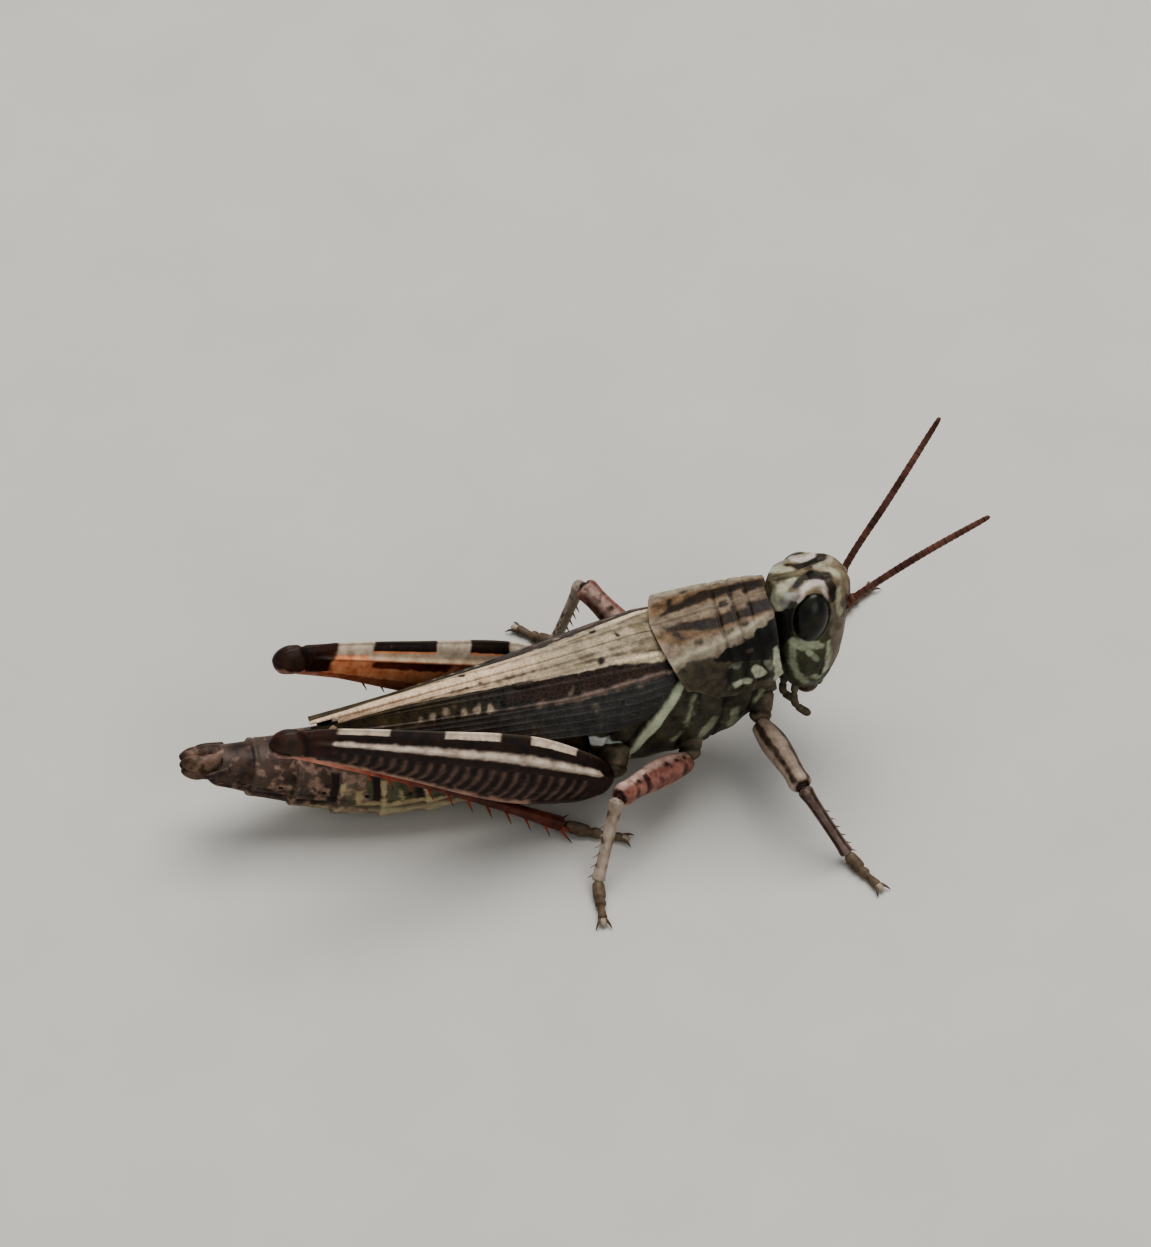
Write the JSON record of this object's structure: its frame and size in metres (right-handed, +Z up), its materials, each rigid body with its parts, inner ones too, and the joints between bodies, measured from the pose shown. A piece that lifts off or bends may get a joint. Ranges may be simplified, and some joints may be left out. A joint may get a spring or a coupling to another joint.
{
  "type": "grasshopper",
  "caption": "Life-size grasshopper at rest on bent legs, head raised, narrow wings folded over the back and great hind thighs drawn up beside a tapering abdomen; a still display model",
  "frame": {"origin": "On the floor, under the middle of the model's bounding box", "axes": "X runs from the tail to the head, Y to the animal's left, Z up"},
  "size_m": [0.0332, 0.017, 0.0143],
  "materials": {
    "compound_eye": "smooth, faintly glossy lens facets",
    "cuticle_face": "waxy grey-green cuticle with dark mottling",
    "cuticle_palp": "waxy pale tan cuticle",
    "cuticle_feeler": "satin reddish brown cuticle in rings",
    "cuticle_saddle": "pitted straw-coloured cuticle with dark bars",
    "wing_cover": "leathery wing cover, pale on the back and dark brown at the side",
    "cuticle_thorax": "waxy olive and dark brown cuticle",
    "cuticle_abdomen": "overlapping rings of satin brown cuticle",
    "cuticle_thigh": "dark brown cuticle in a herringbone of ridges, pale along the upper keel",
    "cuticle_red_shin": "satin orange-red cuticle",
    "cuticle_foot": "satin tan cuticle",
    "cuticle_walking_leg": "tan and pinkish cuticle with dark blotches"
  },
  "bodies": {
    "root": {"eye_left": "compound_eye", "eye_right": "compound_eye", "head": "cuticle_face", "pronotum": "cuticle_saddle", "forewing_left": "wing_cover", "forewing_right": "wing_cover", "thorax": "cuticle_thorax", "abdomen": "cuticle_abdomen", "ovipositor_upper": "cuticle_abdomen", "ovipositor_lower": "cuticle_abdomen", "cercus_left": "cuticle_abdomen", "cercus_right": "cuticle_abdomen", "foreleg_left_coxa": "cuticle_thorax", "foreleg_left_femur": "cuticle_walking_leg", "foreleg_left_tibia": "cuticle_walking_leg", "foreleg_left_tarsus": "cuticle_foot", "foreleg_right_coxa": "cuticle_thorax", "foreleg_right_femur": "cuticle_walking_leg", "foreleg_right_tibia": "cuticle_walking_leg", "foreleg_right_tarsus": "cuticle_foot", "midleg_left_coxa": "cuticle_thorax", "midleg_left_femur": "cuticle_walking_leg", "midleg_left_tibia": "cuticle_walking_leg", "midleg_left_tarsus": "cuticle_foot", "midleg_right_coxa": "cuticle_thorax", "midleg_right_femur": "cuticle_walking_leg", "midleg_right_tibia": "cuticle_walking_leg", "midleg_right_tarsus": "cuticle_foot", "hindleg_left_coxa": "cuticle_thorax", "hindleg_left_femur": "cuticle_thigh", "hindleg_left_tibia": "cuticle_red_shin", "hindleg_left_tarsus": "cuticle_foot", "hindleg_right_coxa": "cuticle_thorax", "hindleg_right_femur": "cuticle_thigh", "hindleg_right_tibia": "cuticle_red_shin", "hindleg_right_tarsus": "cuticle_foot", "antenna_left": "cuticle_feeler", "antenna_right": "cuticle_feeler", "labrum": "cuticle_face", "mandible_left": "cuticle_face", "maxillary_palp_left": "cuticle_palp", "labial_palp_left": "cuticle_palp", "mandible_right": "cuticle_face", "maxillary_palp_right": "cuticle_palp", "labial_palp_right": "cuticle_palp"}
  },
  "joints": []
}
